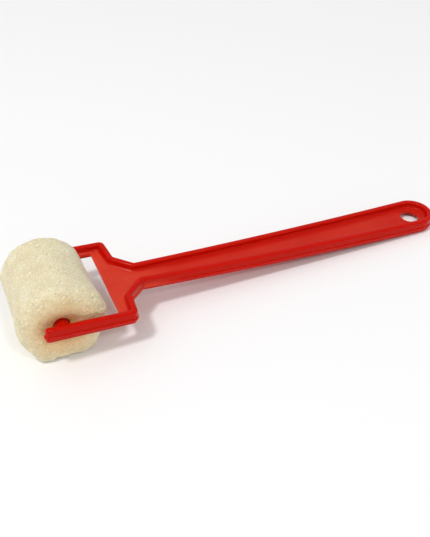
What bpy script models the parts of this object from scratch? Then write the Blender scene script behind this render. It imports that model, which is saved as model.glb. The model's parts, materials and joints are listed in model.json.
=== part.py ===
"""A small foam paint roller, modelled as it rests on a table.

Three pieces: a handle and yoke moulded in one, a core tube that spins on the
yoke's two pegs, and a foam sleeve on the tube. All sizes are in metres.

The frame is drawn lying flat, with the axle on the Y axis through the origin,
+X along the handle and Z = 0 at the axle. "Depth" is measured down from the
plane of its top rims. The whole model is then tipped about the axle until the
handle's end touches the table that the foam stands on.
"""

import math

import bmesh
import bpy
from mathutils import Matrix, Vector

MM = 0.001

# The frame seen from above: half of its outline, from the arm's tip to the handle's end.
YOKE_WIDTH = 62 * MM
ARM_AHEAD_OF_AXLE = 9.5 * MM
SHOULDER = (37.0 * MM, YOKE_WIDTH / 2)  # the square corner behind the foam
WAIST = (38.4 * MM, 16.1 * MM)  # where the shoulder turns towards the handle
NECK = (47.4 * MM, 7.8 * MM)  # where the handle begins
HANDLE_END_X = 219.8 * MM  # centre of the round end
HANDLE_END_RADIUS = 11.8 * MM
CORNER_RADII = (3.0 * MM, 1.2 * MM, 1.2 * MM)  # at the shoulder, waist and neck

# Rims, web and rib heights.
RIM_WIDTH = 3.2 * MM
SMALLEST_CORNER = 0.5 * MM
HEIGHT_AT_ARMS = 7.8 * MM
HEIGHT_AT_NECK = 7.1 * MM
HEIGHT_AT_END = 7.5 * MM
WEB_FRONT_X = 29.0 * MM
WEB_DEPTH = 3.7 * MM
WEB_THICKNESS = 1.6 * MM
WEB_FILLET = 0.9 * MM
LEDGE_START_X = -5.0 * MM  # the web runs on as a narrow ledge inside each arm
LEDGE_WIDTH = 1.2 * MM
LEDGE_CORNER = 1.0 * MM
EDGE_RADIUS = 0.5 * MM

# The parting line runs round every upright wall as a low bead.
PARTING_DEPTH = 4.7 * MM
DRAFT = 0.2 * MM
BEAD_HEIGHT = 0.3 * MM
BEAD_HALF_WIDTH = 0.5 * MM

# The handle curves up a little between its neck and the flat round the hanging hole.
BOW_START_X = NECK[0]
BOW_END_X = 205.0 * MM
BOW_RISE = 3.4 * MM

# Hanging hole, with a raised collar on both faces of the web.
HOLE_X = 218.6 * MM
HOLE_RADIUS = 5.4 * MM
COLLAR_RADIUS = 6.7 * MM
COLLAR_HEIGHT = 0.3 * MM

# Axle, pegs and core tube.
AXLE_DEPTH = 4.9 * MM
PEG_RADIUS = 3.9 * MM
PEG_END_Y = 14.0 * MM
PEG_CHAMFER = 0.8 * MM
RUNNING_CLEARANCE = 0.3 * MM
CORE_WALL = 0.9 * MM
CORE_LENGTH = 42.0 * MM
CORE_CHAMFER = 0.25 * MM

# Foam sleeve. It stands a little nearer to one arm, as it has slid along its pegs.
FOAM_RADIUS = 22.0 * MM
FOAM_LENGTH = 51.0 * MM
FOAM_EDGE = 5.6 * MM
FOAM_DISH_RADIUS = 13.5 * MM
FOAM_DISH_DEPTH = 4.2 * MM
FIT_GAP = 0.3 * MM
ROLLER_SHIFT_Y = -0.6 * MM

# Facet counts.
CORNER_STEPS = 5
HANDLE_STEPS = 12
END_STEPS = 12
TIP_STEPS = 6
FILLET_STEPS = 3
FOAM_EDGE_STEPS = 6
DISH_STEPS = 5
ROUND_STEPS = 32
FOAM_STEPS = 48

CORE_INNER = PEG_RADIUS + RUNNING_CLEARANCE
CORE_OUTER = CORE_INNER + CORE_WALL
FOAM_BORE = CORE_OUTER + FIT_GAP


def clear_scene():
    for obj in list(bpy.data.objects):
        bpy.data.objects.remove(obj, do_unlink=True)


def make_material(name, colour, roughness):
    material = bpy.data.materials.new(name)
    material.use_nodes = True
    shader = material.node_tree.nodes["Principled BSDF"]
    shader.inputs["Base Color"].default_value = (*colour, 1.0)
    shader.inputs["Roughness"].default_value = roughness
    shader.inputs["Metallic"].default_value = 0.0
    return material


def make_object(name, mesh_edit, material=None, parent=None):
    """A mesh object whose normals point out, smooth except along its sharp edges."""
    bmesh.ops.recalc_face_normals(mesh_edit, faces=mesh_edit.faces)
    mesh = bpy.data.meshes.new(name)
    mesh_edit.to_mesh(mesh)
    mesh_edit.free()
    mesh.shade_smooth()
    mesh.set_sharp_from_angle(angle=math.radians(35))
    obj = bpy.data.objects.new(name, mesh)
    bpy.context.scene.collection.objects.link(obj)
    obj.parent = parent
    if material:
        mesh.materials.append(material)
    return obj


def make_empty(name, parent=None):
    empty = bpy.data.objects.new(name, None)
    empty.empty_display_size = 20 * MM
    bpy.context.scene.collection.objects.link(empty)
    empty.parent = parent
    return empty


# ---------------------------------------------------------------- the frame's plan and heights


def blend(low, high, start, end, x):
    share = min(max((x - start) / (end - start), 0.0), 1.0)
    return low + (high - low) * share


def rise(x):
    """How far the handle's bow lifts it at this x: a parabola, then a straight run on its tangent."""
    share = max(0.0, (x - BOW_START_X) / (BOW_END_X - BOW_START_X))
    if share <= 1.0:
        return BOW_RISE * share * share
    return BOW_RISE * (2 * share - 1)


def height(x):
    """Height of the rims at this x."""
    if x < NECK[0]:
        return blend(HEIGHT_AT_ARMS, HEIGHT_AT_NECK, 0.0, NECK[0], x)
    return blend(HEIGHT_AT_NECK, HEIGHT_AT_END, NECK[0], HANDLE_END_X + HANDLE_END_RADIUS, x)


def frame_point(x, y, depth):
    """A point of the frame, at a depth below its top rims."""
    return Vector((x, y, AXLE_DEPTH - depth + rise(x)))


def crossing(point_a, along_a, point_b, along_b):
    """Where two lines in the plane meet."""
    gap = point_b - point_a
    turn = along_a.x * along_b.y - along_a.y * along_b.x
    return point_a + along_a * ((gap.x * along_b.y - gap.y * along_b.x) / turn)


def rounded_corner(before, corner, after, radius):
    """CORNER_STEPS + 1 points of an arc that rounds a corner."""
    back = (before - corner).normalized()
    ahead = (after - corner).normalized()
    half_angle = back.angle(ahead) / 2
    centre = corner + (back + ahead).normalized() * (radius / math.sin(half_angle))
    start = corner + back * (radius / math.tan(half_angle)) - centre
    turn = back.angle_signed(ahead)
    sweep = math.copysign(math.pi - abs(turn), turn)
    arc = []
    for step in range(CORNER_STEPS + 1):
        arc.append(centre + Matrix.Rotation(sweep * step / CORNER_STEPS, 2) @ start)
    return arc


def half_outline(inset):
    """The outline of one half (y > 0), drawn this far inside the outer wall.

    It runs from the middle of the arm's round tip to the handle's far end. Its point
    count doesn't depend on the inset, so two outlines can be joined point by point.
    """
    end_centre = Vector((HANDLE_END_X, 0.0))
    to_neck = Vector(NECK) - end_centre
    lean = math.acos(HANDLE_END_RADIUS / to_neck.length)
    tangent_out = Matrix.Rotation(-lean, 2) @ to_neck.normalized()
    corners = [
        Vector((0.0, YOKE_WIDTH / 2)),
        Vector(SHOULDER),
        Vector(WAIST),
        Vector(NECK),
        end_centre + tangent_out * HANDLE_END_RADIUS,
    ]
    lines = []
    for start, end in zip(corners, corners[1:]):
        along = (end - start).normalized()
        inwards = Vector((along.y, -along.x))
        lines.append((start + inwards * inset, along))
    tip_x = -ARM_AHEAD_OF_AXLE + RIM_WIDTH / 2
    end_radius = HANDLE_END_RADIUS - inset
    moved = [Vector((tip_x, YOKE_WIDTH / 2 - inset))]
    for (start_a, along_a), (start_b, along_b) in zip(lines, lines[1:]):
        moved.append(crossing(start_a, along_a, start_b, along_b))
    moved.append(end_centre + tangent_out * end_radius)

    path = [moved[0], Vector((LEDGE_START_X, moved[0].y))]
    bends = (-1, 1, 1)  # the shoulder turns towards the inside, the waist and neck away from it
    for index, (radius, bend) in enumerate(zip(CORNER_RADII, bends), start=1):
        fitted = max(radius + bend * inset, SMALLEST_CORNER)
        path += rounded_corner(moved[index - 1], moved[index], moved[index + 1], fitted)
    handle_start = path[-1]
    for step in range(1, HANDLE_STEPS):
        path.append(handle_start.lerp(moved[-1], step / HANDLE_STEPS))
    start_angle = math.atan2(tangent_out.y, tangent_out.x)
    for step in range(END_STEPS + 1):
        angle = start_angle * (1 - step / END_STEPS)
        path.append(end_centre + Vector((math.cos(angle), math.sin(angle))) * end_radius)
    return path


def mirrored(path):
    return [Vector((point.x, -point.y)) for point in path]


# ---------------------------------------------------------------- the frame's solids


def draft_at(depth):
    """How far the drafted wall leans out at this depth, above or below the parting line."""
    upper = PARTING_DEPTH - BEAD_HALF_WIDTH
    lower = PARTING_DEPTH + BEAD_HALF_WIDTH
    if depth < upper:
        return blend(0.0, DRAFT, EDGE_RADIUS, upper, depth)
    return blend(DRAFT, 0.0, lower, HEIGHT_AT_NECK - EDGE_RADIUS, depth)


def wall_levels():
    """The upright walls' profile, from top to bottom: (how far out, depth, whether from the bottom)."""
    bead_out = DRAFT + BEAD_HEIGHT
    half_edge = EDGE_RADIUS * (1 - math.sqrt(0.5))
    web_upper = WEB_DEPTH - WEB_FILLET
    web_lower = WEB_DEPTH + WEB_THICKNESS + WEB_FILLET
    return [
        (-EDGE_RADIUS, 0.0, False),
        (-half_edge, half_edge, False),
        (0.0, EDGE_RADIUS, False),
        (draft_at(web_upper), web_upper, False),
        (DRAFT, PARTING_DEPTH - BEAD_HALF_WIDTH, False),
        (bead_out, PARTING_DEPTH - BEAD_HALF_WIDTH / 3, False),
        (bead_out, PARTING_DEPTH + BEAD_HALF_WIDTH / 3, False),
        (DRAFT, PARTING_DEPTH + BEAD_HALF_WIDTH, False),
        (draft_at(web_lower), web_lower, False),
        (0.0, -EDGE_RADIUS, True),
        (-half_edge, -half_edge, True),
        (-EDGE_RADIUS, 0.0, True),
    ]


WEB_TOP_LEVEL = 3  # the levels of the profile above where the web meets the inner wall
WEB_BOTTOM_LEVEL = 8


def rim_ring(out):
    """The plan of the rim strip this far outside its walls: outer wall, near tip, inner wall, far tip."""
    outer = half_outline(-out)
    inner = half_outline(RIM_WIDTH + out)
    tip = []
    tip_centre = Vector((-ARM_AHEAD_OF_AXLE + RIM_WIDTH / 2, (YOKE_WIDTH - RIM_WIDTH) / 2))
    for step in range(1, TIP_STEPS):
        angle = math.pi * (1.5 - step / TIP_STEPS)
        tip.append(tip_centre + Vector((math.cos(angle), math.sin(angle))) * (RIM_WIDTH / 2 + out))
    outer_loop = outer + mirrored(outer[:-1])[::-1]
    inner_loop = mirrored(inner[:-1]) + inner[::-1]
    return outer_loop, mirrored(tip)[::-1], inner_loop, tip


def web_front():
    """The web's front edge in plan, from the near ledge's start to the far one's."""
    edge_y = YOKE_WIDTH / 2 - RIM_WIDTH - DRAFT - LEDGE_WIDTH
    start = Vector((LEDGE_START_X, -edge_y))
    corner = Vector((WEB_FRONT_X, -edge_y))
    middle = Vector((WEB_FRONT_X, 0.0))
    half = [start, *rounded_corner(start, corner, middle, LEDGE_CORNER)]
    return half + mirrored(half)[::-1]


def add_strip(edit, upper, lower):
    """Faces between two rows of corners."""
    for index in range(len(upper) - 1):
        edit.faces.new((upper[index], upper[index + 1], lower[index + 1], lower[index]))


def add_web_surface(edit, wall_row, level, side):
    """One face of the web, with its fillet up or down to the inner wall. Returns its open edges."""
    wall_out, wall_depth, _ = wall_levels()[level]
    rows = [wall_row]
    for step in range(1, FILLET_STEPS + 1):
        turn = math.pi / 2 * step / FILLET_STEPS
        plan = rim_ring(wall_out + WEB_FILLET * (1 - math.cos(turn)))[2][1:-1]
        depth = wall_depth + side * WEB_FILLET * math.sin(turn)
        rows.append([edit.verts.new(frame_point(p.x, p.y, depth)) for p in plan])
        add_strip(edit, rows[-2], rows[-1])
    flat = rows[-1]
    front = [edit.verts.new(frame_point(p.x, p.y, depth)) for p in web_front()]
    edit.faces.new([flat[1], flat[0], *front, flat[-1], flat[-2]])
    last = len(flat) - 1
    for index in range(1, last // 2):
        corners = [flat[index], flat[index + 1], flat[last - index - 1], flat[last - index]]
        if corners[1] == corners[2]:
            corners.pop(2)
        edit.faces.new(corners)
    near_end = [row[0] for row in rows]
    far_end = [row[-1] for row in rows]
    return near_end, front, far_end


def make_body():
    """Rims and web as one mesh: the rims run from one arm's tip, round the handle, to the other's."""
    edit = bmesh.new()
    rings = []
    for out, depth, from_bottom in wall_levels():
        parts = []
        for part in rim_ring(out):
            corners = []
            for point in part:
                down = depth + (height(point.x) if from_bottom else 0.0)
                corners.append(edit.verts.new(frame_point(point.x, point.y, down)))
            parts.append(corners)
        rings.append(parts)

    for outer_loop, near_tip, inner_loop, far_tip in (rings[0], rings[-1]):
        add_strip(edit, outer_loop, inner_loop[::-1])
        edit.faces.new([outer_loop[-1], *near_tip, inner_loop[0]])
        edit.faces.new([inner_loop[-1], *far_tip, outer_loop[0]])
    for level, (upper, lower) in enumerate(zip(rings, rings[1:])):
        rows = []
        for outer_loop, near_tip, inner_loop, far_tip in (upper, lower):
            around = [inner_loop[-2], inner_loop[-1], *far_tip, *outer_loop, *near_tip]
            rows.append(around + inner_loop[:2])
        add_strip(edit, *rows)
        if not WEB_TOP_LEVEL <= level < WEB_BOTTOM_LEVEL:
            add_strip(edit, upper[2][1:-1], lower[2][1:-1])

    above = add_web_surface(edit, rings[WEB_TOP_LEVEL][2][1:-1], WEB_TOP_LEVEL, 1)
    below = add_web_surface(edit, rings[WEB_BOTTOM_LEVEL][2][1:-1], WEB_BOTTOM_LEVEL, -1)
    add_strip(edit, above[1], below[1])
    between = range(WEB_BOTTOM_LEVEL - 1, WEB_TOP_LEVEL, -1)
    for end, column in ((0, 1), (-1, -2)):
        wall = [rings[level][2][column] for level in between]
        over = [*above[0 if end == 0 else 2], above[1][end]]
        under = [*below[0 if end == 0 else 2], below[1][end]]
        edit.faces.new(over + under[::-1] + wall)
    unused = [vert for vert in edit.verts if not vert.link_faces]
    bmesh.ops.delete(edit, geom=unused, context="VERTS")
    return edit


def turned(profile, steps, closed):
    """A solid of revolution about Z from (radius, z) points; a closed profile makes a ring."""
    edit = bmesh.new()
    rings = []
    for radius, level in profile:
        ring = []
        for step in range(steps):
            angle = 2 * math.pi * step / steps
            at = (radius * math.cos(angle), radius * math.sin(angle), level)
            ring.append(edit.verts.new(at))
        rings.append(ring)
    following = rings[1:] + rings[:1] if closed else rings[1:]
    for ring, after in zip(rings, following):
        for step in range(steps):
            beside = (step + 1) % steps
            edit.faces.new((ring[step], ring[beside], after[beside], after[step]))
    if not closed:
        edit.faces.new(rings[0])
        edit.faces.new(rings[-1])
    return edit


def make_helper(name, edit, parent):
    """A shape that only takes part in a Boolean."""
    bmesh.ops.triangulate(edit, faces=edit.faces)
    helper = make_object(name, edit, parent=parent)
    helper.hide_render = True
    helper.display_type = "WIRE"
    return helper


def make_collar(parent, name, profile):
    """A turned shape round the hanging hole, sheared to follow the handle's bow."""
    edit = turned(profile, ROUND_STEPS, closed=False)
    for vert in edit.verts:
        x = HOLE_X + vert.co.x
        vert.co = frame_point(x, vert.co.y, vert.co.z)
    return make_helper(name, edit, parent)


def make_peg(parent, side):
    """A peg on an arm's inner face, along the axle, with a chamfered end."""
    root_y = (YOKE_WIDTH - RIM_WIDTH) / 2
    profile = [
        (PEG_RADIUS, root_y),
        (PEG_RADIUS, PEG_END_Y + PEG_CHAMFER),
        (PEG_RADIUS - PEG_CHAMFER, PEG_END_Y),
    ]
    name = "far_peg_shape" if side > 0 else "near_peg_shape"
    peg = make_helper(name, turned(profile, ROUND_STEPS, closed=False), parent)
    peg.rotation_euler = (-side * math.pi / 2, 0.0, 0.0)
    return peg


def add_boolean(obj, other, operation):
    modifier = obj.modifiers.new(other.name, "BOOLEAN")
    modifier.operation = operation
    modifier.solver = "EXACT"
    modifier.object = other


def build_frame(parent, material):
    """Handle, yoke, arms and pegs: one moulding."""
    body = make_body()
    bmesh.ops.triangulate(body, faces=body.faces)
    frame = make_object("handle_frame", body, material, parent)
    middle = WEB_DEPTH + WEB_THICKNESS / 2
    reach = WEB_THICKNESS / 2 + COLLAR_HEIGHT
    chamfer = COLLAR_HEIGHT / 2
    collar_profile = [
        (COLLAR_RADIUS - chamfer, middle - reach),
        (COLLAR_RADIUS, middle - reach + chamfer),
        (COLLAR_RADIUS, middle + reach - chamfer),
        (COLLAR_RADIUS - chamfer, middle + reach),
    ]
    past = reach + COLLAR_HEIGHT
    hole_profile = [
        (HOLE_RADIUS + 3 * chamfer, middle - past),
        (HOLE_RADIUS, middle - reach + chamfer),
        (HOLE_RADIUS, middle + reach - chamfer),
        (HOLE_RADIUS + 3 * chamfer, middle + past),
    ]
    add_boolean(frame, make_collar(parent, "collar_shape", collar_profile), "UNION")
    for side in (1, -1):
        add_boolean(frame, make_peg(parent, side), "UNION")
    add_boolean(frame, make_collar(parent, "hole_shape", hole_profile), "DIFFERENCE")
    return frame


# ---------------------------------------------------------------- the roller


def lay_along_axle(edit):
    """Turns a shape made round Z so that it lies along the axle, round Y."""
    bmesh.ops.rotate(edit, verts=edit.verts, matrix=Matrix.Rotation(math.pi / 2, 3, "X"))
    return edit


def build_core(parent, material):
    """The tube that the foam is fixed to, which spins on the pegs."""
    half = CORE_LENGTH / 2
    profile = []
    for side in (-1, 1):
        ends = [
            (CORE_INNER, side * (half - CORE_CHAMFER)),
            (CORE_INNER + CORE_CHAMFER, side * half),
            (CORE_OUTER - CORE_CHAMFER, side * half),
            (CORE_OUTER, side * (half - CORE_CHAMFER)),
        ]
        profile += ends if side < 0 else ends[::-1]
    return make_object(
        "roller_core", lay_along_axle(turned(profile, ROUND_STEPS, True)), material, parent
    )


def foam_end_profile():
    """One end of the foam, from its barrel to its bore: a round edge, then a shallow dish."""
    half = FOAM_LENGTH / 2
    points = []
    for step in range(FOAM_EDGE_STEPS + 1):
        turn = math.pi / 2 * step / FOAM_EDGE_STEPS
        radius = FOAM_RADIUS - FOAM_EDGE * (1 - math.cos(turn))
        points.append((radius, half - FOAM_EDGE * (1 - math.sin(turn))))
    for step in range(1, DISH_STEPS + 1):
        share = step / DISH_STEPS
        radius = FOAM_DISH_RADIUS + (FOAM_BORE - FOAM_DISH_RADIUS) * share
        points.append((radius, half - FOAM_DISH_DEPTH * (1 - math.cos(math.pi / 2 * share))))
    return points


def build_foam(parent, material):
    end = foam_end_profile()
    other_end = [(radius, -level) for radius, level in end[::-1]]
    profile = end + other_end
    return make_object(
        "foam_sleeve", lay_along_axle(turned(profile, FOAM_STEPS, True)), material, parent
    )


# ---------------------------------------------------------------- putting it together


def evaluated_points(obj):
    graph = bpy.context.evaluated_depsgraph_get()
    evaluated = obj.evaluated_get(graph)
    mesh = evaluated.to_mesh()
    points = [obj.matrix_world @ vert.co for vert in mesh.vertices]
    evaluated.to_mesh_clear()
    return points


def resting_tilt(points):
    """The angle about the axle that brings the lowest of the handle's points down to the table."""
    tilts = []
    for point in points:
        if point.x > FOAM_RADIUS:
            reach = math.hypot(point.x, point.z)
            tilts.append(math.atan2(point.z, point.x) + math.asin(FOAM_RADIUS / reach))
    return min(tilts)


def main():
    clear_scene()
    red = make_material("red_plastic", (0.60, 0.022, 0.008), 0.28)
    cream = make_material("cream_foam", (0.80, 0.69, 0.48), 0.95)
    axle = make_empty("axle")
    frame = build_frame(axle, red)
    spin = make_empty("roller_spin", axle)
    spin.location = (0.0, ROLLER_SHIFT_Y, 0.0)
    core = build_core(spin, red)
    foam = build_foam(spin, cream)
    bpy.context.view_layer.update()

    axle.rotation_euler = (0.0, resting_tilt(evaluated_points(frame)), 0.0)
    axle.location = (0.0, 0.0, FOAM_RADIUS)
    bpy.context.view_layer.update()
    reach = [point.x for piece in (frame, core, foam) for point in evaluated_points(piece)]
    axle.location.x = -(min(reach) + max(reach)) / 2
    bpy.context.view_layer.update()


main()
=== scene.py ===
"""The looks of the small foam paint roller: a finely moulded red frame, its core tube and a
sponge sleeve, on a white table under soft light. All lengths are in metres."""

import json
import math

import bmesh
import bpy
import numpy as np
from mathutils import Matrix, Vector


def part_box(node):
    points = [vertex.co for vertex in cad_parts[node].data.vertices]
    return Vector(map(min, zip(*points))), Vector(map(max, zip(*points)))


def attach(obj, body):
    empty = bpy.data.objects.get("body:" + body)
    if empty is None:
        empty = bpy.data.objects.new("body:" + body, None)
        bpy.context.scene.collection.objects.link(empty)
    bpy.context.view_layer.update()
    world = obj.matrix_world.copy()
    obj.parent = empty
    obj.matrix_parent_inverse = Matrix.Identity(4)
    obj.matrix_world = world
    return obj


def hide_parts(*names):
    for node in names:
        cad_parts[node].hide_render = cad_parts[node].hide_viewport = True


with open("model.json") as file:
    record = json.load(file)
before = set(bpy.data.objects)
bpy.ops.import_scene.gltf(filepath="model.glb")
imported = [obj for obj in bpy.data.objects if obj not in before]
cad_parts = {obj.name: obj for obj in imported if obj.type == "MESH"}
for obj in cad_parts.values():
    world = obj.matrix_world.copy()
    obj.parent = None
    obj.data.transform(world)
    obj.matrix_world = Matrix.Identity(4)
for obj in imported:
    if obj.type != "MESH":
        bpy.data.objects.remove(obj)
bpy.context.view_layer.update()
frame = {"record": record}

MM = 0.001

# ------------------------------------------------------------------ where the CAD model lies

joint = frame["record"]["behaviour"]["joints"][0]
AXLE = Vector(joint["pos_m"])
yoke_normal = next(m for m in frame["record"]["mounts"] if m["name"] == "yoke_face")["axis"]
TILT = math.atan2(yoke_normal[0], yoke_normal[2])
FRAME_TO_WORLD = Matrix.Translation(AXLE) @ Matrix.Rotation(TILT, 4, "Y")

# The frame's own sizes, as the CAD has them: X along the handle from the axle, depth below the rims.
YOKE_WIDTH = 62 * MM
ARM_AHEAD_OF_AXLE = 9.5 * MM
SHOULDER = (37.0 * MM, YOKE_WIDTH / 2)
WAIST = (38.4 * MM, 16.1 * MM)
NECK = (47.4 * MM, 7.8 * MM)
HANDLE_END_X = 219.8 * MM
HANDLE_END_RADIUS = 11.8 * MM
CORNER_RADII = (3.0 * MM, 1.2 * MM, 1.2 * MM)
RIM_WIDTH = 3.2 * MM
SMALLEST_CORNER = 0.5 * MM
HEIGHT_AT_ARMS = 7.8 * MM
HEIGHT_AT_NECK = 7.1 * MM
HEIGHT_AT_END = 7.5 * MM
WEB_FRONT_X = 29.0 * MM
WEB_DEPTH = 3.7 * MM
WEB_THICKNESS = 1.6 * MM
WEB_MIDDLE = WEB_DEPTH + WEB_THICKNESS / 2
UNDER_FILLET = 0.9 * MM
# How far the web's upper fillet reaches across and up the wall, by X: (x, across, up).
FILLETS = (
    (29.6 * MM, 1.1 * MM, 2.0 * MM),
    (31.3 * MM, 2.2 * MM, 2.3 * MM),
    (44.0 * MM, 2.6 * MM, 2.3 * MM),
    (60.0 * MM, 3.4 * MM, 2.4 * MM),
    (120.0 * MM, 4.4 * MM, 2.4 * MM),
    (190.0 * MM, 4.4 * MM, 2.4 * MM),
    (207.0 * MM, 2.3 * MM, 2.2 * MM),
)
WIDEST_FILLET = max(across for _, across, _ in FILLETS)
LEDGE_START_X = -5.0 * MM
LEDGE_WIDTH = 1.2 * MM
LEDGE_CORNER = 1.0 * MM
TOP_EDGE = 1.0 * MM
BOTTOM_EDGE = 0.5 * MM
PARTING_DEPTH = 4.7 * MM
DRAFT = 0.2 * MM
BEAD_HEIGHT = 0.6 * MM
BEAD_HALF_WIDTH = 0.7 * MM
# Where the bead has its points, as shares of its half width.
BEAD_ACROSS = (-1.0, -0.8, -0.45, 0.45, 0.8, 1.0)
BOW_START_X = NECK[0]
BOW_END_X = 205.0 * MM
BOW_RISE = 3.4 * MM
HOLE_X = 218.6 * MM
HOLE_RADIUS = 5.4 * MM
COLLAR_RADIUS = 6.7 * MM
COLLAR_HEIGHT = 0.3 * MM
COLLAR_REACH = WEB_THICKNESS / 2 + COLLAR_HEIGHT
COLLAR_EDGE = COLLAR_HEIGHT * 0.8
HOLE_EDGE = COLLAR_HEIGHT * 0.7
AXLE_DEPTH = 4.9 * MM
PEG_RADIUS = 3.9 * MM
PEG_END_Y = 14.0 * MM
PEG_CHAMFER = 0.8 * MM

# How many steps each curve takes, and the angle from which an edge is shaded as sharp.
CORNER_STEPS = 8
FILLET_GROWS_STEPS = 5
HANDLE_STEPS = 60
END_STEPS = 36
TIP_STEPS = 12
FILLET_STEPS = 8
EDGE_STEPS = 4
ROUND_STEPS = 64
SHARP_ANGLE = math.radians(38)

# ------------------------------------------------------------------ node helpers


def new_material(name):
    material = bpy.data.materials.new(name)
    material.use_nodes = True
    tree = material.node_tree
    return material, tree, tree.nodes["Principled BSDF"]


def set_inputs(node, values):
    for key, value in values.items():
        node.inputs[key].default_value = value


def add_node(tree, kind, inputs=None, **settings):
    node = tree.nodes.new(kind)
    for key, value in settings.items():
        setattr(node, key, value)
    set_inputs(node, inputs or {})
    return node


def add_attribute(tree, name):
    return add_node(tree, "ShaderNodeAttribute", attribute_name=name).outputs["Fac"]


def add_texture(tree, kind, where, inputs):
    texture = add_node(tree, kind, inputs)
    link(tree, where, texture.inputs["Vector"])
    return texture


def add_sum(tree, first, second):
    total = add_node(tree, "ShaderNodeMath", operation="ADD")
    link(tree, first, total.inputs[0])
    link(tree, second, total.inputs[1])
    return total.outputs[0]


def add_bump(tree, heights, shader, strength, distance):
    bump = add_node(tree, "ShaderNodeBump", {"Strength": strength, "Distance": distance})
    link(tree, heights, bump.inputs["Height"])
    link(tree, bump.outputs["Normal"], shader.inputs["Normal"])


def link(tree, source, target):
    tree.links.new(source, target)


def add_ramp(tree, factor, stops):
    ramp = tree.nodes.new("ShaderNodeValToRGB")
    elements = ramp.color_ramp.elements
    while len(elements) < len(stops):
        elements.new(0.5)
    for element, (position, colour) in zip(elements, stops):
        element.position = position
        element.color = (*colour, 1.0)
    link(tree, factor, ramp.inputs["Fac"])
    return ramp.outputs["Color"]


def add_mix(tree, factor, first, second):
    mix = add_node(tree, "ShaderNodeMix", data_type="RGBA", blend_type="MIX")
    link(tree, factor, mix.inputs[0])
    for slot, value in ((6, first), (7, second)):  # the colour sockets A and B
        if isinstance(value, tuple):
            mix.inputs[slot].default_value = (*value, 1.0)
        else:
            link(tree, value, mix.inputs[slot])
    return mix.outputs[2]


def add_range(tree, value, low, high, to_low, to_high):
    node = add_node(
        tree,
        "ShaderNodeMapRange",
        {"From Min": low, "From Max": high, "To Min": to_low, "To Max": to_high},
    )
    link(tree, value, node.inputs["Value"])
    return node.outputs["Result"]


# ------------------------------------------------------------------ materials


# The plastic's own red, and a paler red that is a painted sheen on the web.
RED_DEEP = (0.56, 0.0045, 0.0006)
RED_WITH_PAINTED_SHEEN = (0.70, 0.056, 0.026)
RED_ROUGHNESS = 0.12
CORE_RED = (0.42, 0.006, 0.004)
CORE_ROUGHNESS = 0.28
WEB_ADDS_ROUGHNESS = 0.14
FLOW_SHADE = 0.82
FLOW_SHARE = 0.35

# The foam's base tones by the noise value they lie at, then what is mixed over them.
FOAM_TONES = ((0.3, (0.70, 0.61, 0.385)), (0.5, (0.755, 0.67, 0.44)), (0.7, (0.79, 0.72, 0.50)))
# Painted shade in the cells' hollows, and in the pores.
FOAM_CELL_SHADE, CELL_SHADE_SHARE = (0.55, 0.43, 0.25), 0.22
FOAM_PORE_SHADE, PORE_SHADE_SHARE = (0.50, 0.39, 0.22), 0.4
FOAM_FLECK, FLECK_SHARE = (0.93, 0.89, 0.74), 0.9
# A painted glow of red light from the frame, on the foam's ends round the bore.
FOAM_PAINTED_RED_GLOW = (0.88, 0.42, 0.05)
TABLE_WHITE = (0.94, 0.94, 0.94, 1.0)


def red_plastic(name, deep, bright, rough):
    """Moulded plastic: more satin on the thin web, which a painted sheen also makes paler, with flow
    marks and grain.
    """
    material, tree, shader = new_material(name)
    where = add_node(tree, "ShaderNodeTexCoord").outputs["Object"]
    web = add_attribute(tree, "web")
    flow_scales = {"Scale": 38.0, "Detail": 3.0, "Roughness": 0.55}
    flow = add_texture(tree, "ShaderNodeTexNoise", where, flow_scales).outputs["Fac"]
    grain = add_texture(tree, "ShaderNodeTexNoise", where, {"Scale": 2600.0, "Detail": 2.0})
    # The web's painted sheen, which fades to painted shade by the trough's walls and along the
    # handle.
    colour = add_mix(tree, web, deep, bright)
    flow_share = add_range(tree, flow, 0.3, 0.7, 0.0, FLOW_SHARE)
    mottled = add_mix(tree, flow_share, colour, tuple(FLOW_SHADE * c for c in deep))
    link(tree, mottled, shader.inputs["Base Color"])
    satin = add_range(tree, web, 0.0, 1.0, rough, rough + WEB_ADDS_ROUGHNESS)
    wear = add_range(tree, flow, 0.35, 0.75, -0.03, 0.05)
    link(tree, add_sum(tree, satin, wear), shader.inputs["Roughness"])
    add_bump(tree, grain.outputs["Fac"], shader, strength=0.05, distance=0.1 * MM)
    look = {
        "IOR": 1.25,
        "Specular Tint": (1.0, 0.75, 0.60, 1.0),
        "Subsurface Weight": 0.7,
        "Subsurface Radius": (1.0, 0.04, 0.03),
        "Subsurface Scale": 1.4 * MM,
    }
    set_inputs(shader, look)
    return material


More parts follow.
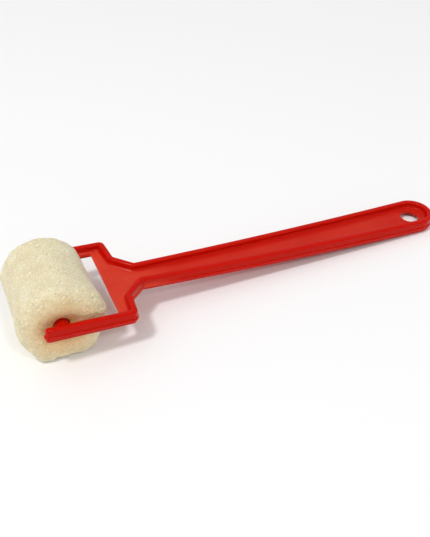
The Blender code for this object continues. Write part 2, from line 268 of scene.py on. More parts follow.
def sponge():
    """Open-celled foam: pale walls, cells and larger pores darker with painted shade, a few bright
    flecks, and a painted red glow round the bore.
    """
    material, tree, shader = new_material("sponge_foam")
    where = add_node(tree, "ShaderNodeTexCoord").outputs["Object"]
    cell_scales = {"Scale": 1500.0, "Randomness": 1.0}
    cells = add_texture(tree, "ShaderNodeTexVoronoi", where, cell_scales).outputs["Distance"]
    cloud_scales = {"Scale": 120.0, "Detail": 3.0, "Roughness": 0.6}
    clouds = add_texture(tree, "ShaderNodeTexNoise", where, cloud_scales).outputs["Fac"]
    speck_scales = {"Scale": 900.0, "Detail": 2.0, "Roughness": 0.6}
    specks = add_texture(tree, "ShaderNodeTexNoise", where, speck_scales).outputs["Fac"]
    colour = add_ramp(tree, clouds, FOAM_TONES)
    # Painted shade in the cells' hollows, darkest at their middles.
    cell_shade_mix = add_range(tree, cells, 0.0, 0.5, CELL_SHADE_SHARE, 0.0)
    colour = add_mix(tree, cell_shade_mix, colour, FOAM_CELL_SHADE)
    # Painted shade deep in the pores.
    pore_shade_mix = add_range(tree, add_attribute(tree, "painted_pore_shade"), 0.4, 1.0, 0.0, PORE_SHADE_SHARE)
    colour = add_mix(tree, pore_shade_mix, colour, FOAM_PORE_SHADE)
    fleck_share = add_range(tree, specks, 0.56, 0.68, 0.0, FLECK_SHARE)
    colour = add_mix(tree, fleck_share, colour, FOAM_FLECK)
    # Painted glow of the frame's red light round the bore.
    colour = add_mix(tree, add_attribute(tree, "painted_red_glow"), colour, FOAM_PAINTED_RED_GLOW)
    link(tree, colour, shader.inputs["Base Color"])
    add_bump(tree, add_sum(tree, cells, specks), shader, strength=0.55, distance=0.25 * MM)
    look = {
        "Roughness": 0.93,
        "Specular IOR Level": 0.2,
        "Sheen Weight": 0.15,
        "Sheen Roughness": 0.6,
        "Subsurface Weight": 0.6,
        "Subsurface Radius": (1.0, 0.7, 0.4),
        "Subsurface Scale": 3.0 * MM,
    }
    set_inputs(shader, look)
    return material


def table_top():
    material, _, shader = new_material("white_table")
    look = {"Base Color": TABLE_WHITE, "Roughness": 0.6, "Specular IOR Level": 0.2}
    set_inputs(shader, look)
    return material


# ------------------------------------------------------------------ the moulded frame


def blend(low, high, start, end, x):
    share = min(max((x - start) / (end - start), 0.0), 1.0)
    return low + (high - low) * share


def rise(x):
    share = max(0.0, (x - BOW_START_X) / (BOW_END_X - BOW_START_X))
    return BOW_RISE * (share * share if share <= 1.0 else 2 * share - 1)


def height(x):
    if x < NECK[0]:
        return blend(HEIGHT_AT_ARMS, HEIGHT_AT_NECK, 0.0, NECK[0], x)
    return blend(HEIGHT_AT_NECK, HEIGHT_AT_END, NECK[0], HANDLE_END_X + HANDLE_END_RADIUS, x)


def frame_point(x, y, depth):
    return Vector((x, y, AXLE_DEPTH - depth + rise(x)))


def crossing(point_a, along_a, point_b, along_b):
    gap = point_b - point_a
    turn = along_a.x * along_b.y - along_a.y * along_b.x
    return point_a + along_a * ((gap.x * along_b.y - gap.y * along_b.x) / turn)


def rounded_corner(before, corner, after, radius):
    back = (before - corner).normalized()
    ahead = (after - corner).normalized()
    half_angle = back.angle(ahead) / 2
    centre = corner + (back + ahead).normalized() * (radius / math.sin(half_angle))
    start = corner + back * (radius / math.tan(half_angle)) - centre
    turn = back.angle_signed(ahead)
    sweep = math.copysign(math.pi - abs(turn), turn)
    return [
        centre + Matrix.Rotation(sweep * step / CORNER_STEPS, 2) @ start
        for step in range(CORNER_STEPS + 1)
    ]


def half_outline(inset):
    """One half (y > 0) of the plan, this far inside the outer wall, with a fixed point count."""
    end_centre = Vector((HANDLE_END_X, 0.0))
    to_neck = Vector(NECK) - end_centre
    lean = math.acos(HANDLE_END_RADIUS / to_neck.length)
    tangent_out = Matrix.Rotation(-lean, 2) @ to_neck.normalized()
    corners = [
        Vector((0.0, YOKE_WIDTH / 2)),
        Vector(SHOULDER),
        Vector(WAIST),
        Vector(NECK),
        end_centre + tangent_out * HANDLE_END_RADIUS,
    ]
    lines = []
    for start, end in zip(corners, corners[1:]):
        along = (end - start).normalized()
        lines.append((start + Vector((along.y, -along.x)) * inset, along))
    moved = [Vector((-ARM_AHEAD_OF_AXLE + RIM_WIDTH / 2, YOKE_WIDTH / 2 - inset))]
    for (start_a, along_a), (start_b, along_b) in zip(lines, lines[1:]):
        moved.append(crossing(start_a, along_a, start_b, along_b))
    end_radius = HANDLE_END_RADIUS - inset
    moved.append(end_centre + tangent_out * end_radius)
    path = [moved[0], Vector((LEDGE_START_X, moved[0].y))]
    for step in range(FILLET_GROWS_STEPS + 1):
        x = blend(FILLETS[0][0], FILLETS[1][0], 0, FILLET_GROWS_STEPS, step)
        path.append(Vector((x, moved[0].y)))
    for index, (radius, bend) in enumerate(zip(CORNER_RADII, (-1, 1, 1)), start=1):
        fitted = max(radius + bend * inset, SMALLEST_CORNER)
        path += rounded_corner(moved[index - 1], moved[index], moved[index + 1], fitted)
    handle_start = path[-1]
    for step in range(1, HANDLE_STEPS):
        path.append(handle_start.lerp(moved[-1], step / HANDLE_STEPS))
    start_angle = math.atan2(tangent_out.y, tangent_out.x)
    for step in range(END_STEPS + 1):
        angle = start_angle * (1 - step / END_STEPS)
        path.append(end_centre + Vector((math.cos(angle), math.sin(angle))) * end_radius)
    return path


def mirrored(path):
    return [Vector((point.x, -point.y)) for point in path]


def draft_at(depth):
    upper = PARTING_DEPTH - BEAD_HALF_WIDTH
    lower = PARTING_DEPTH + BEAD_HALF_WIDTH
    if depth < upper:
        return blend(0.0, DRAFT, TOP_EDGE, upper, depth)
    return blend(DRAFT, 0.0, lower, HEIGHT_AT_NECK - BOTTOM_EDGE, depth)


def fillet_at(x):
    """How far the web's upper fillet reaches across and up the wall at this X."""
    if x <= FILLETS[0][0]:
        return FILLETS[0][1:]
    for before, after in zip(FILLETS, FILLETS[1:]):
        if x <= after[0]:
            return tuple(blend(before[i], after[i], before[0], after[0], x) for i in (1, 2))
    return FILLETS[-1][1:]


def rounded_edge(radius):
    """A quarter round as (out, depth), from the flat top to the wall."""
    points = []
    for step in range(EDGE_STEPS + 1):
        turn = math.pi / 2 * step / EDGE_STEPS
        points.append((radius * (math.sin(turn) - 1), radius * (1 - math.cos(turn))))
    return points


def wall_levels():
    """The walls' profile: (out, depth, what the depth is measured from)."""
    web_lower = WEB_DEPTH + WEB_THICKNESS + UNDER_FILLET
    levels = [(out, depth, "top") for out, depth in rounded_edge(TOP_EDGE)]
    levels.append((0.0, WEB_DEPTH, "fillet"))
    for across in BEAD_ACROSS:
        swell = BEAD_HEIGHT * (1 - across * across) ** 0.5
        levels.append((DRAFT + swell, PARTING_DEPTH + across * BEAD_HALF_WIDTH, "top"))
    levels.append((draft_at(web_lower), web_lower, "top"))
    levels += [(out, -depth, "bottom") for out, depth in rounded_edge(BOTTOM_EDGE)[::-1]]
    return levels


LEVELS = wall_levels()
WEB_TOP_LEVEL = EDGE_STEPS + 1
WEB_BOTTOM_LEVEL = WEB_TOP_LEVEL + len(BEAD_ACROSS) + 1


def level_depth(level, x):
    _, depth, measured_from = LEVELS[level]
    if measured_from == "fillet":
        return depth - fillet_at(x)[1]
    return depth + (height(x) if measured_from == "bottom" else 0.0)


def rim_ring(out):
    outer = half_outline(-out)
    inner = half_outline(RIM_WIDTH + out)
    tip_centre = Vector((-ARM_AHEAD_OF_AXLE + RIM_WIDTH / 2, (YOKE_WIDTH - RIM_WIDTH) / 2))
    tip = []
    for step in range(1, TIP_STEPS):
        angle = math.pi * (1.5 - step / TIP_STEPS)
        tip.append(tip_centre + Vector((math.cos(angle), math.sin(angle))) * (RIM_WIDTH / 2 + out))
    outer_loop = outer + mirrored(outer[:-1])[::-1]
    inner_loop = mirrored(inner[:-1]) + inner[::-1]
    return outer_loop, mirrored(tip)[::-1], inner_loop, tip


def web_front():
    edge_y = YOKE_WIDTH / 2 - RIM_WIDTH - DRAFT - LEDGE_WIDTH
    start = Vector((LEDGE_START_X, -edge_y))
    corner = Vector((WEB_FRONT_X, -edge_y))
    half = [start, *rounded_corner(start, corner, Vector((WEB_FRONT_X, 0.0)), LEDGE_CORNER)]
    return half + mirrored(half)[::-1]


def add_strip(edit, upper, lower):
    for index in range(len(upper) - 1):
        edit.faces.new((upper[index], upper[index + 1], lower[index + 1], lower[index]))


def add_web_surface(edit, wall_row, level, upper):
    """One face of the web, with its fillet to the inner wall. Returns its open edges."""
    out = LEVELS[level][0]
    wall = [vert.co for vert in wall_row]
    widest = rim_ring(out + WIDEST_FILLET)[2][1:-1]
    flat_depth = WEB_DEPTH if upper else WEB_DEPTH + WEB_THICKNESS
    rows = [wall_row]
    for step in range(1, FILLET_STEPS + 1):
        turn = math.pi / 2 * step / FILLET_STEPS
        row = []
        for at_wall, at_widest in zip(wall, widest):
            across, up = fillet_at(at_wall.x) if upper else (UNDER_FILLET, -UNDER_FILLET)
            plan = at_wall.xy.lerp(at_widest, across / WIDEST_FILLET * (1 - math.cos(turn)))
            depth = flat_depth - up * (1 - math.sin(turn))
            row.append(edit.verts.new(frame_point(plan.x, plan.y, depth)))
        rows.append(row)
        add_strip(edit, rows[-2], rows[-1])
    flat = rows[-1]
    front = [edit.verts.new(frame_point(p.x, p.y, flat_depth)) for p in web_front()]
    edit.faces.new([flat[1], flat[0], *front, flat[-1], flat[-2]])
    last = len(flat) - 1
    for index in range(1, last // 2):
        corners = [flat[index], flat[index + 1], flat[last - index - 1], flat[last - index]]
        if corners[1] == corners[2]:
            corners.pop(2)
        edit.faces.new(corners)
    return [row[0] for row in rows], front, [row[-1] for row in rows]


def moulding_mesh():
    edit = bmesh.new()
    rings = []
    for level, (out, _, _) in enumerate(LEVELS):
        parts = []
        for part in rim_ring(out):
            row = [edit.verts.new(frame_point(p.x, p.y, level_depth(level, p.x))) for p in part]
            parts.append(row)
        rings.append(parts)
    for outer_loop, near_tip, inner_loop, far_tip in (rings[0], rings[-1]):
        add_strip(edit, outer_loop, inner_loop[::-1])
        edit.faces.new([outer_loop[-1], *near_tip, inner_loop[0]])
        edit.faces.new([inner_loop[-1], *far_tip, outer_loop[0]])
    for level, (upper, lower) in enumerate(zip(rings, rings[1:])):
        rows = []
        for outer_loop, near_tip, inner_loop, far_tip in (upper, lower):
            around = [inner_loop[-2], inner_loop[-1], *far_tip, *outer_loop, *near_tip]
            rows.append(around + inner_loop[:2])
        add_strip(edit, *rows)
        if not WEB_TOP_LEVEL <= level < WEB_BOTTOM_LEVEL:
            add_strip(edit, upper[2][1:-1], lower[2][1:-1])
    above = add_web_surface(edit, rings[WEB_TOP_LEVEL][2][1:-1], WEB_TOP_LEVEL, True)
    below = add_web_surface(edit, rings[WEB_BOTTOM_LEVEL][2][1:-1], WEB_BOTTOM_LEVEL, False)
    add_strip(edit, above[1], below[1])
    between = range(WEB_BOTTOM_LEVEL - 1, WEB_TOP_LEVEL, -1)
    for end, column in ((0, 1), (-1, -2)):
        wall = [rings[level][2][column] for level in between]
        over = [*above[0 if end == 0 else 2], above[1][end]]
        under = [*below[0 if end == 0 else 2], below[1][end]]
        edit.faces.new(over + under[::-1] + wall)
    unused = [vert for vert in edit.verts if not vert.link_faces]
    bmesh.ops.delete(edit, geom=unused, context="VERTS")
    bmesh.ops.triangulate(edit, faces=edit.faces)
    bmesh.ops.recalc_face_normals(edit, faces=edit.faces)
    return edit


def turned(profile, closed=False):
    """A solid of revolution about Z from (radius, z) points; a closed profile makes a ring."""
    edit = bmesh.new()
    rings = []
    for radius, level in profile:
        ring = []
        for step in range(ROUND_STEPS):
            angle = 2 * math.pi * step / ROUND_STEPS
            at = (radius * math.cos(angle), radius * math.sin(angle), level)
            ring.append(edit.verts.new(at))
        rings.append(ring)
    following = rings[1:] + rings[:1] if closed else rings[1:]
    for ring, after in zip(rings, following):
        for step in range(ROUND_STEPS):
            beside = (step + 1) % ROUND_STEPS
            edit.faces.new((ring[step], ring[beside], after[beside], after[step]))
    if not closed:
        edit.faces.new(rings[0])
        edit.faces.new(rings[-1])
    bmesh.ops.triangulate(edit, faces=edit.faces)
    bmesh.ops.recalc_face_normals(edit, faces=edit.faces)
    return edit


def to_object(name, edit):
    """A new object from a mesh, with a closed mesh's faces turned outwards."""
    if edit.calc_volume(signed=True) < 0:
        bmesh.ops.reverse_faces(edit, faces=edit.faces)
    mesh = bpy.data.meshes.new(name)
    edit.to_mesh(mesh)
    edit.free()
    obj = bpy.data.objects.new(name, mesh)
    bpy.context.scene.collection.objects.link(obj)
    return obj


def round_edge(radius, level, size, turn_from, turn_to):
    """Points of a rounded edge on a turned profile, round the centre (radius, level)."""
    points = []
    for step in range(EDGE_STEPS + 1):
        turn = math.radians(turn_from + (turn_to - turn_from) * step / EDGE_STEPS)
        points.append((radius + size * math.cos(turn), level + size * math.sin(turn)))
    return points


def web_disc(name, profile):
    """A solid turned round the hanging hole's axis, with its depths measured as the web's are."""
    edit = turned(profile)
    for vert in edit.verts:
        vert.co = frame_point(HOLE_X + vert.co.x, vert.co.y, vert.co.z)
    return to_object(name, edit)


def collar_object():
    """The raised collar round the hanging hole, on both faces of the web."""
    radius = COLLAR_RADIUS - COLLAR_EDGE
    reach = COLLAR_REACH - COLLAR_EDGE
    profile = [
        *round_edge(radius, WEB_MIDDLE - reach, COLLAR_EDGE, 270, 360),
        *round_edge(radius, WEB_MIDDLE + reach, COLLAR_EDGE, 0, 90),
    ]
    return web_disc("collar_shape", profile)


def hole_object():
    """The hanging hole, with rounded edges where it meets the collar."""
    radius = HOLE_RADIUS + HOLE_EDGE
    reach = COLLAR_REACH - HOLE_EDGE
    past = COLLAR_REACH + COLLAR_HEIGHT
    profile = [
        (radius, WEB_MIDDLE - past),
        *round_edge(radius, WEB_MIDDLE - reach, HOLE_EDGE, 270, 180),
        *round_edge(radius, WEB_MIDDLE + reach, HOLE_EDGE, 180, 90),
        (radius, WEB_MIDDLE + past),
    ]
    return web_disc("hole_shape", profile)


def peg_object(side):
    root_y = (YOKE_WIDTH - RIM_WIDTH) / 2
    profile = [
        (PEG_RADIUS, root_y),
        *round_edge(PEG_RADIUS - PEG_CHAMFER, PEG_END_Y + PEG_CHAMFER, PEG_CHAMFER, 0, -90),
    ]
    edit = turned(profile)
    bmesh.ops.rotate(edit, verts=edit.verts, matrix=Matrix.Rotation(-side * math.pi / 2, 3, "X"))
    return to_object("peg_shape", edit)


def combine(obj, other, operation):
    modifier = obj.modifiers.new(other.name, "BOOLEAN")
    modifier.operation = operation
    modifier.solver = "EXACT"
    modifier.object = other


def apply_modifiers(obj):
    graph = bpy.context.evaluated_depsgraph_get()
    mesh = bpy.data.meshes.new_from_object(obj.evaluated_get(graph))
    obj.modifiers.clear()
    obj.data = mesh
    return mesh


# Where the web's painted sheen fades: up the walls, on the arms, from the neck on, and towards the
# handle's sides. On the handle only a share of it is left. The fading along the handle and towards
# its sides is painted shade.
WEB_FADE = 0.8 * MM
ARM_MARGIN = 0.1 * MM
HANDLE_FADE = 25 * MM
SIDE_FADE = 5.5 * MM
HANDLE_SHARE = 0.42


def ease(low, high, values):
    """0 at low, 1 at high, and smooth between."""
    share = np.clip((values - low) / (high - low), 0, 1)
    return share * share * (3 - 2 * share)


def painted_sheen_share(points):
    """How much of the web's painted sheen each of the frame's points has, from 0 to 1; where it
    fades, that is painted shade.
    """
    x = points[:, 0]
    half_width = np.abs(points[:, 1])
    rises = np.array([rise(float(value)) for value in x])
    depth = AXLE_DEPTH + rises - points[:, 2]
    from_web = np.abs(depth - WEB_MIDDLE) - WEB_THICKNESS / 2
    share = np.clip(1 - from_web / WEB_FADE, 0, 1)
    widening = np.clip((x - NECK[0]) / (HANDLE_END_X - NECK[0]), 0, 1)
    wall = NECK[1] + (HANDLE_END_RADIUS - NECK[1]) * widening - RIM_WIDTH
    from_wall = wall - np.hypot(half_width, np.maximum(x - HANDLE_END_X, 0))
    on_handle = ease(NECK[0], NECK[0] + HANDLE_FADE, x)
    # Painted shade: on the handle the sheen drops to a share, and to none by the walls.
    share *= 1 - on_handle * (1 - HANDLE_SHARE * ease(0.0, SIDE_FADE, from_wall))
    on_arm = (half_width > YOKE_WIDTH / 2 - RIM_WIDTH - ARM_MARGIN) & (x < SHOULDER[0])
    return np.where(on_arm, 0.0, share).astype(np.float32)


def make_moulding():
    moulding = to_object("moulded_frame", moulding_mesh())
    helpers = [collar_object(), peg_object(1), peg_object(-1), hole_object()]
    for helper, operation in zip(helpers, ("UNION", "UNION", "UNION", "DIFFERENCE")):
        combine(moulding, helper, operation)
    mesh = apply_modifiers(moulding)
    for helper in helpers:
        bpy.data.objects.remove(helper, do_unlink=True)
    points = np.empty(len(mesh.vertices) * 3, np.float32)
    mesh.vertices.foreach_get("co", points)
    # The web's painted sheen, as a share on each point.
    attribute = mesh.attributes.new("web", "FLOAT", "POINT")
    attribute.data.foreach_set("value", painted_sheen_share(points.reshape(-1, 3)))
    mesh.shade_smooth()
    mesh.set_sharp_from_angle(angle=SHARP_ANGLE)
    mesh.transform(FRAME_TO_WORLD)
    mesh.materials.append(RED)
    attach(moulding, "frame")
    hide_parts("handle_frame")


# ------------------------------------------------------------------ the core tube

FOAM_LOW, FOAM_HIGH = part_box("foam_sleeve")
CORE_LOW, CORE_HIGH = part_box("roller_core")
ROLLER_Y = (FOAM_LOW.y + FOAM_HIGH.y) / 2
CORE_OUTER = (CORE_HIGH.z - CORE_LOW.z) / 2
CORE_WALL = 0.9 * MM
CORE_EDGE = 0.25 * MM


def make_core():
    half = (CORE_HIGH.y - CORE_LOW.y) / 2
    inner = CORE_OUTER - CORE_WALL
    profile = [
        *round_edge(CORE_OUTER - CORE_EDGE, half - CORE_EDGE, CORE_EDGE, 0, 90),
        *round_edge(inner + CORE_EDGE, half - CORE_EDGE, CORE_EDGE, 90, 180),
        *round_edge(inner + CORE_EDGE, CORE_EDGE - half, CORE_EDGE, 180, 270),
        *round_edge(CORE_OUTER - CORE_EDGE, CORE_EDGE - half, CORE_EDGE, 270, 360),
    ]
    edit = turned(profile, closed=True)
    bmesh.ops.rotate(edit, verts=edit.verts, matrix=Matrix.Rotation(math.pi / 2, 3, "X"))
    core = to_object("core_tube", edit)
    core.data.transform(Matrix.Translation((AXLE.x, ROLLER_Y, AXLE.z)))
    core.data.shade_smooth()
    core.data.set_sharp_from_angle(angle=SHARP_ANGLE)
    core.data.materials.append(RED_CORE)
    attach(core, "roller")
    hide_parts("roller_core")


# ------------------------------------------------------------------ the foam sleeve

FOAM_RADIUS = (FOAM_HIGH.x - FOAM_LOW.x) / 2
FOAM_HALF = (FOAM_HIGH.y - FOAM_LOW.y) / 2
FOAM_EDGE_IN = 8.0 * MM
FOAM_EDGE_OUT = 6.0 * MM
FOAM_MOUTH = 4.25 * MM
GLUE_GAP = 0.3 * MM
FOAM_BORE = CORE_OUTER + GLUE_GAP
DISH_DEPTH = 3.2 * MM
DISH_BEND = 0.6
PROFILE_POINTS = 300
# Rings inside the bore, as shares of the way from one mouth to the other. It's full bore between.
BORE_RINGS = (0.02, 0.05, 0.12, 0.3, 0.5, 0.7, 0.88, 0.95, 0.98)
FULL_BORE_FROM, FULL_BORE_TO = 0.04, 0.96

# How the sleeve has settled. Pairs are where a change starts and where it's complete.
SLACK = 1.15 * MM
SLACK_SIDE = (9 * MM, 21 * MM)
SLACK_FAR = (-20 * MM, -6 * MM)
SPREAD = 2.0 * MM
SPREAD_SIDE = (8 * MM, 18 * MM)
SPREAD_NEAR = (2 * MM, 26 * MM)
SPREAD_LEVEL = (-17 * MM, -3 * MM)
PRESS = 1.12
PRESSED_ACROSS = (20.5 * MM, 11 * MM)
PRESSED_LEVEL = (17 * MM, 3 * MM)
WIDEST_PRESSED = 0.98
BOTTOM_WIDENS = 0.035
BOTTOM_LEVEL = 7 * MM
TOUCH = 0.35 * MM
TOUCH_FADE = 2.5 * MM

# The sleeve's surface: heights in millimetres, the size of what they shape, and seeds.
CELL_GRID = 0.26 * MM
BROAD_LUMPS = (0.3, 14 * MM, 3)
SMALL_LUMPS = (0.12, 4.6 * MM, 5)
CRUMBS = (0.06, 2.6 * MM, 29)
EDGE_CRUMBS = 0.42
EDGE_RADIUS = (13 * MM, 19 * MM)
EDGE_Y = (FOAM_HALF - 12 * MM, FOAM_HALF - 5 * MM)
# Two sizes of open cell. The last two numbers are how dark a pore's painted shade is and which cells
# are pores.
CELL_LAYERS = ((0.24, 1.25 * MM, 7, 0.8, 0.6), (0.2, 0.7 * MM, 11, 0.5, 0.7))
SHALLOWEST = 0.3
WALL_SHARE = 0.45
TORN_PORES = (0.4, 4.6 * MM, 17)
TORN_FROM, TORN_SIZE = 0.72, 0.16
MOUTH_FADE = 1.5 * MM
# The ends' painted glow of red light from the frame, by the distance from the bore's mouth: (share,
# where it starts, where it's full).
RED_GLOW_TINTS = ((0.27, 16 * MM, 6 * MM), (0.3, 7 * MM, 0.0), (0.08, 17.5 * MM, 13 * MM))

NOISE_OFFSET = 512.0  # keeps every cell's number positive
HASH_FACTORS = (73856093, 19349663, 83492791)
HASH_SEED_FACTOR = 2654435761
HASH_STEP = (6364136223846793005, 1442695040888963407)
HASH_RANGE = 0x1000000


def hash_grid(cells, seed):
    """Repeatable random numbers from 0 to 1, three for each integer cell."""
    value = np.uint64(seed * HASH_SEED_FACTOR % 2**32)
    for axis, factor in enumerate(HASH_FACTORS):
        value = value ^ cells[..., axis].astype(np.uint64) * np.uint64(factor)
    numbers = []
    for _ in range(3):
        value = value * np.uint64(HASH_STEP[0]) + np.uint64(HASH_STEP[1])
        value ^= value >> np.uint64(29)
        numbers.append(((value >> np.uint64(33)) & np.uint64(HASH_RANGE - 1)) / float(HASH_RANGE))
    return np.stack(numbers, axis=-1)


def cell_noise(points, size, seed):
    """Distances to the nearest and second nearest cell centre, in cells, and a number per cell."""
    scaled = points / size + NOISE_OFFSET
    base = np.floor(scaled).astype(np.int64)
    nearest = np.full(len(points), 9.0)
    second = np.full(len(points), 9.0)
    number = np.zeros(len(points))
    for step in np.ndindex(3, 3, 3):
        cell = base + (np.array(step) - 1)
        spot = hash_grid(cell, seed)
        away = np.linalg.norm(cell + spot - scaled, axis=1)
        closer = away < nearest
        second = np.where(closer, nearest, np.minimum(second, away))
        number = np.where(closer, spot[:, 0], number)
        nearest = np.where(closer, away, nearest)
    return nearest, second, number


def smooth_noise(points, size, seed):
    """Smooth noise from -1 to 1."""
    scaled = points / size + NOISE_OFFSET
    base = np.floor(scaled).astype(np.int64)
    share = scaled - base
    share = share * share * (3 - 2 * share)
    total = np.zeros(len(points))
    for steps in np.ndindex(2, 2, 2):
        weight = np.ones(len(points))
        for axis, step in enumerate(steps):
            weight *= share[:, axis] if step else 1 - share[:, axis]
        total += weight * hash_grid(base + np.array(steps), seed)[:, 1]
    return total * 2 - 1


def foam_profile():
    """The sleeve's profile from bore to bore over its outside, in even steps.

    Returns each point's radius, its y, and the outward normal along both."""
    turn = np.linspace(0, math.pi / 2, PROFILE_POINTS)
    flat = FOAM_RADIUS - FOAM_EDGE_IN
    edge_radius = flat + FOAM_EDGE_IN * np.sin(turn)
    edge_y = FOAM_HALF - FOAM_EDGE_OUT * (1 - np.cos(turn))
    dish_radius = np.linspace(FOAM_MOUTH, flat, PROFILE_POINTS, endpoint=False)
    sunk = np.clip((flat - dish_radius) / (flat - FOAM_MOUTH), 0, 1)
    dish_y = FOAM_HALF - DISH_DEPTH * sunk * sunk * (1 + DISH_BEND - DISH_BEND * sunk)
    half = np.stack(
        [np.concatenate([dish_radius, edge_radius]), np.concatenate([dish_y, edge_y])], axis=1
    )
    whole = np.concatenate([half, half[::-1] * (1, -1)])
    lengths = np.concatenate([[0], np.cumsum(np.linalg.norm(np.diff(whole, axis=0), axis=1))])
    at = np.linspace(0, lengths[-1], int(lengths[-1] / CELL_GRID))
    radius = np.interp(at, lengths, whole[:, 0])
    y = np.interp(at, lengths, whole[:, 1])
    along_r, along_y = np.gradient(radius), np.gradient(y)
    size = np.hypot(along_r, along_y)
    return radius, y, -along_y / size, along_r / size


def settle(points):
    """The sleeve as it has settled: flattened on the table, a little slack on one side."""
    x, y, z = points[:, 0], points[:, 1], points[:, 2] + AXLE.z
    # Slack on the side away from the handle.
    x = x + SLACK * ease(*SLACK_SIDE, -x) * ease(*SLACK_FAR, y)
    # The near end's edge spreads towards the yoke.
    spread = ease(*SPREAD_SIDE, x) * ease(*SPREAD_NEAR, -y)
    x = x + SPREAD * spread * ease(*SPREAD_LEVEL, points[:, 2])
    # The round bottom goes flat as far as it's pressed.
    across = np.minimum(np.abs(x), WIDEST_PRESSED * FOAM_RADIUS)
    arc = FOAM_RADIUS - np.sqrt(FOAM_RADIUS**2 - across**2)
    z = z - PRESS * arc * ease(*PRESSED_ACROSS, across) * ease(*PRESSED_LEVEL, z)
    y = y * (1 + BOTTOM_WIDENS * ease(BOTTOM_LEVEL, 0.0, z))
    # What would go through the table spreads instead.
    z = np.where(z < TOUCH, TOUCH * np.exp((z - TOUCH) / TOUCH_FADE), z)
    return np.stack([x + AXLE.x, y + ROLLER_Y, z], axis=1)


def foam_relief(points):
    """How far each point stands out, and how much painted shade it gets from lying deep in a pore,
    from 0 to 1.
    """
    from_axle = np.hypot(points[:, 0], points[:, 2])
    lumps = 0.0
    for rise_mm, size, seed in (BROAD_LUMPS, SMALL_LUMPS):
        lumps = lumps + rise_mm * smooth_noise(points, size, seed)
    # The cut ends crumble at their outer edge.
    crumbs, size, seed = CRUMBS
    at_edge = ease(*EDGE_RADIUS, from_axle) * ease(*EDGE_Y, np.abs(points[:, 1]))
    lumps += (crumbs + EDGE_CRUMBS * at_edge) * smooth_noise(points, size, seed)
    # The open cells, the finer ones between them, and a few larger torn pores.
    cells, painted_pore_shade = 0.0, 0.0
    for depth, size, seed, dark, chosen in CELL_LAYERS:
        near, second, number = cell_noise(points, size, seed)
        walls = np.clip((second - near) / WALL_SHARE, 0, 1)
        cells = cells - depth * walls * (SHALLOWEST + number)
        painted_pore_shade = painted_pore_shade + dark * walls * (number > chosen)
    depth, size, seed = TORN_PORES
    near, _, number = cell_noise(points, size, seed)
    torn = np.where(number > TORN_FROM, np.clip(1 - near / TORN_SIZE, 0, 1), 0.0)
    # The bore's mouth stays in place against the peg.
    from_mouth = np.clip((from_axle - FOAM_MOUTH) / MOUTH_FADE, 0, 1)
    relief = (lumps + cells - depth * torn) * MM * from_mouth
    return relief, np.clip(painted_pore_shade + torn, 0, 1)


def around_axle(radius, y, cosine, sine):
    """Rings of points (or normals) round the axle, one for each radius and y."""
    flat = np.repeat(y[:, None], len(cosine), 1)
    rings = [radius[:, None] * cosine, flat, radius[:, None] * sine]
    return np.stack(rings, axis=-1).reshape(-1, 3)


def closed_skin(name, points, around, values):
    """A ring-shaped mesh from rows of points, with the named values on its points."""
    rows = len(points) // around
    row = np.arange(rows)[:, None] * around
    following = (np.arange(1, rows + 1) % rows)[:, None] * around
    column = np.arange(around)[None, :]
    beside = (column + 1) % around
    faces = np.stack([row + column, row + beside, following + beside, following + column], -1)
    faces = faces.reshape(-1, 4)
    mesh = bpy.data.meshes.new(name)
    mesh.vertices.add(len(points))
    mesh.vertices.foreach_set("co", points.astype(np.float32).reshape(-1))
    mesh.loops.add(faces.size)
    mesh.loops.foreach_set("vertex_index", faces.reshape(-1).astype(np.int32))
    mesh.polygons.add(len(faces))
    mesh.polygons.foreach_set("loop_start", np.arange(0, faces.size, 4, dtype=np.int32))
    mesh.update(calc_edges=True)
    mesh.validate()
    for key, numbers in values.items():
        attribute = mesh.attributes.new(key, "FLOAT", "POINT")
        attribute.data.foreach_set("value", numbers.astype(np.float32))
    edit = bmesh.new()
    edit.from_mesh(mesh)
    bmesh.ops.recalc_face_normals(edit, faces=edit.faces)
    edit.to_mesh(mesh)
    edit.free()
    mesh.shade_smooth()
    return mesh


def make_foam():
    radius, y, out_r, out_y = foam_profile()
    around = int(2 * math.pi * FOAM_RADIUS / CELL_GRID)
    angle = np.arange(around) * 2 * math.pi / around
    cosine, sine = np.cos(angle), np.sin(angle)
    points = around_axle(radius, y, cosine, sine)
    normals = around_axle(out_r, out_y, cosine, sine)
    from_mouth = np.hypot(points[:, 0], points[:, 2]) - FOAM_MOUTH
    painted_red_glow = sum(share * ease(start, full, from_mouth) for share, start, full in RED_GLOW_TINTS)
    relief, painted_pore_shade = foam_relief(points)
    outside = settle(points + normals * relief[:, None])
    # Inside, the sleeve opens from its mouth to the tube's bore and closes again.
    shares = np.array(BORE_RINGS)
    full = (shares > FULL_BORE_FROM) & (shares < FULL_BORE_TO)
    ring_radius = np.where(full, FOAM_BORE, (FOAM_MOUTH + FOAM_BORE) / 2)
    inside = around_axle(ring_radius, y[0] * (2 * shares - 1), cosine, sine)
    inside += (AXLE.x, ROLLER_Y, AXLE.z)
    # The bore's inside gets no pore shade and the full painted red glow.
    values = {
        "painted_pore_shade": np.concatenate([painted_pore_shade, np.zeros(len(inside))]),
        "painted_red_glow": np.concatenate([painted_red_glow, np.ones(len(inside))]),
    }
    mesh = closed_skin("foam_skin", np.concatenate([outside, inside]), around, values)
    mesh.materials.append(FOAM)
    foam = bpy.data.objects.new("sponge_sleeve", mesh)
    bpy.context.scene.collection.objects.link(foam)
    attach(foam, "roller")
    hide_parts("foam_sleeve")


# ------------------------------------------------------------------ the set


TABLE_HALF = 3.0
TABLE_GAP = 0.02 * MM
WORLD_STRENGTH = 0.54
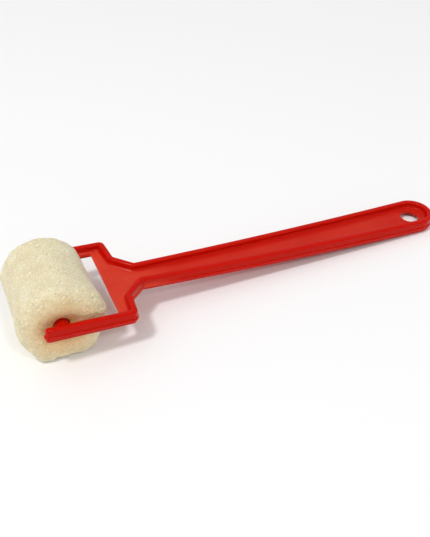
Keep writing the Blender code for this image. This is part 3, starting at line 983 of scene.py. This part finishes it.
# The lamps face this point. Each has a name, where it is from there, width, depth and watts.
LIT_POINT = Vector((-0.08, 0.0, 0.01))
LAMPS = (
    ("main", (-0.90, 0.30, 2.10), 2.2, 2.2, 6.0),
    ("key", (-1.02, -0.44, 2.33), 0.32, 0.32, 25.0),
    ("front", (0.34, -1.60, 1.90), 0.30, 0.24, 9.0),
)
LENS_MM = 54.637
CAMERA_FROM_AXLE = Vector((-0.03741, -0.31664, 0.28048))
CAMERA_RIGHT = Vector((0.92021, -0.39099, -0.01851))
CAMERA_UP = Vector((0.26816, 0.59525, 0.75747))


def make_table():
    edit = bmesh.new()
    bmesh.ops.create_grid(edit, x_segments=8, y_segments=8, size=TABLE_HALF)
    table = to_object("table_top", edit)
    table.location = (0.0, 0.0, -TABLE_GAP)
    table.data.materials.append(table_top())


def add_softbox(name, at, target, width, depth, power):
    """A rectangular lamp that faces the target, with its width along X."""
    light = bpy.data.lights.new(name, "AREA")
    light.shape = "RECTANGLE"
    light.size = width
    light.size_y = depth
    light.energy = power
    obj = bpy.data.objects.new(name, light)
    back = (at - target).normalized()
    right = (Vector((1.0, 0.0, 0.0)) - back * back.x).normalized()
    turn = Matrix((right, back.cross(right), back)).transposed()
    obj.matrix_world = Matrix.Translation(at) @ turn.to_4x4()
    bpy.context.scene.collection.objects.link(obj)


def make_lights():
    world = bpy.data.worlds.new("studio")
    world.use_nodes = True
    background = world.node_tree.nodes["Background"]
    set_inputs(background, {"Color": (1.0, 1.0, 1.0, 1.0), "Strength": WORLD_STRENGTH})
    bpy.context.scene.world = world
    for name, offset, width, depth, power in LAMPS:
        add_softbox(name, LIT_POINT + Vector(offset), LIT_POINT, width, depth, power)


def make_camera():
    """The view from in front of the foam, to the left, looking down along the handle."""
    camera = bpy.data.cameras.new("camera")
    camera.lens = LENS_MM
    camera.clip_start = 0.01
    obj = bpy.data.objects.new("camera", camera)
    back = CAMERA_RIGHT.cross(CAMERA_UP)
    turn = Matrix((CAMERA_RIGHT, CAMERA_UP, back)).transposed()
    obj.matrix_world = Matrix.Translation(AXLE + CAMERA_FROM_AXLE) @ turn.to_4x4()
    bpy.context.scene.collection.objects.link(obj)
    bpy.context.scene.camera = obj


RED = red_plastic("red_plastic", RED_DEEP, RED_WITH_PAINTED_SHEEN, RED_ROUGHNESS)
RED_CORE = red_plastic("red_core_plastic", CORE_RED, CORE_RED, CORE_ROUGHNESS)
FOAM = sponge()

make_camera()
make_moulding()
make_core()
make_foam()
make_table()
make_lights()
bpy.context.scene.view_settings.view_transform = "Standard"
